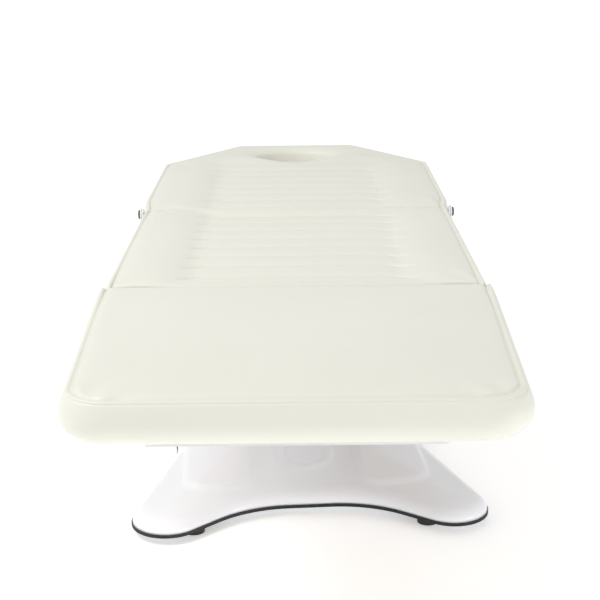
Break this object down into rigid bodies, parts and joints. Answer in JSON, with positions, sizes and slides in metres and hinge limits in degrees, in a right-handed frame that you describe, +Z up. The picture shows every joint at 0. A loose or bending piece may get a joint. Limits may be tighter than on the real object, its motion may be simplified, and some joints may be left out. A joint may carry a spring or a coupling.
{
  "type": "facial treatment bed",
  "caption": "Padded facial treatment bed with a tilting backrest and leg rest, a face hole, and a swivelling lift column on a white moulded floor base.",
  "frame": {"origin": "on the floor, under the middle of the bed's bounding box", "axes": "+X to the right seen from the foot end, +Y towards the head end, +Z up"},
  "size_m": [0.6922, 1.84, 0.509],
  "materials": {
    "upholstery": "satin cream vinyl with a fine grain",
    "plywood": "raw plywood",
    "frame_paint": "white powder coat",
    "base_steel": "black powder coat",
    "zinc_steel": "zinc plated",
    "bright_rod": "ground and plated",
    "bush": "turned bronze",
    "black_plastic": "moulded, matt",
    "trim_rubber": "extruded rubber edge",
    "drive_plastic": "moulded grey, matt",
    "cast_metal": "die cast",
    "glide_plastic": "natural acetal",
    "cover_plastic": "white moulded ABS, semi-gloss"
  },
  "bodies": {
    "base": {"base_frame": "base_steel", "column_plate": "base_steel", "column_bolts": "zinc_steel", "base_cover": "cover_plastic", "base_trim": "trim_rubber", "outer_column_tube": "frame_paint", "outer_glide_pads": "glide_plastic", "lift_gear_motor": "cast_metal", "lift_screw_tube": "cast_metal", "lower_column_shroud": "cover_plastic"},
    "column_middle": {"middle_column_tube": "frame_paint", "middle_glide_pads": "glide_plastic", "middle_column_shroud": "cover_plastic"},
    "lift": {"inner_column_tube": "frame_paint", "lift_rod": "bright_rod", "upper_column_shroud": "cover_plastic", "swivel_base": "cast_metal"},
    "seat": {"swivel_ring": "cast_metal", "top_plate": "frame_paint", "top_plate_bolts": "zinc_steel", "seat_frame": "frame_paint", "seat_board": "plywood", "seat_board_bolts": "zinc_steel", "seat_cushion": "upholstery", "seat_hinge_plates": "frame_paint", "backrest_pins": "zinc_steel", "backrest_washers": "zinc_steel", "backrest_pivot_caps": "black_plastic", "leg_hinge_lugs": "frame_paint", "leg_hinge_pins": "zinc_steel", "drive_brackets": "frame_paint", "back_drive_housing": "drive_plastic", "back_drive_motor": "drive_plastic", "leg_drive_housing": "drive_plastic", "leg_drive_motor": "drive_plastic", "control_box": "black_plastic", "mains_inlet": "black_plastic"},
    "back": {"back_frame": "frame_paint", "back_board": "plywood", "back_board_bolts": "zinc_steel", "back_cushion": "upholstery", "back_hinge_plates": "frame_paint", "back_lever": "frame_paint"},
    "leg": {"leg_frame": "frame_paint", "leg_board": "plywood", "leg_board_bolts": "zinc_steel", "leg_cushion": "upholstery", "leg_rest_lugs": "frame_paint", "leg_hinge_bushes": "bush", "leg_lever": "frame_paint"},
    "back_drive": {"back_drive_rod": "bright_rod", "back_drive_fork": "zinc_steel", "back_drive_pin": "zinc_steel"},
    "leg_drive": {"leg_drive_rod": "bright_rod", "leg_drive_fork": "zinc_steel", "leg_drive_pin": "zinc_steel"},
    "foot_fl": {"front_left_foot": "black_plastic"},
    "foot_fr": {"front_right_foot": "black_plastic"},
    "foot_rl": {"rear_left_foot": "black_plastic"},
    "foot_rr": {"rear_right_foot": "black_plastic"}
  },
  "joints": [
    {"name": "lift_height", "type": "slide", "parent": "base", "child": "lift", "axis": [0, 0, 1], "range_m": [0, 0.24]},
    {"name": "swivel", "type": "hinge", "parent": "lift", "child": "seat", "pos_m": [0, 0.11, 0.392], "axis": [0, 0, 1], "range_deg": [-120, 120]},
    {"name": "middle_stage", "type": "slide", "parent": "base", "child": "column_middle", "axis": [0, 0, 1], "range_m": [0, 0.12]},
    {"name": "backrest", "type": "hinge", "parent": "seat", "child": "back", "pos_m": [0, 0.16, 0.497], "axis": [1, 0, 0], "range_deg": [0, 70]},
    {"name": "back_drive_slide", "type": "slide", "parent": "seat", "child": "back_drive", "axis": [0, 1, 0], "range_m": [0, 0.17]},
    {"name": "leg_rest", "type": "hinge", "parent": "seat", "child": "leg", "pos_m": [0, -0.4, 0.418], "axis": [1, 0, 0], "range_deg": [0, 45]},
    {"name": "leg_drive_slide", "type": "slide", "parent": "seat", "child": "leg_drive", "axis": [0, 1, 0], "range_m": [0, 0.058]},
    {"name": "front_left_foot_screw", "type": "slide", "parent": "base", "child": "foot_fl", "axis": [0, 0, -1], "range_m": [0, 0.012]},
    {"name": "front_right_foot_screw", "type": "slide", "parent": "base", "child": "foot_fr", "axis": [0, 0, -1], "range_m": [0, 0.012]},
    {"name": "rear_left_foot_screw", "type": "slide", "parent": "base", "child": "foot_rl", "axis": [0, 0, -1], "range_m": [0, 0.012]},
    {"name": "rear_right_foot_screw", "type": "slide", "parent": "base", "child": "foot_rr", "axis": [0, 0, -1], "range_m": [0, 0.012]}
  ],
  "couplings": [
    {"joint": "middle_stage", "follows": "lift_height", "ratio": 0.5},
    {"joint": "back_drive_slide", "follows": "backrest", "m_per_rad": 0.13812},
    {"joint": "leg_drive_slide", "follows": "leg_rest", "m_per_rad": 0.0728}
  ]
}
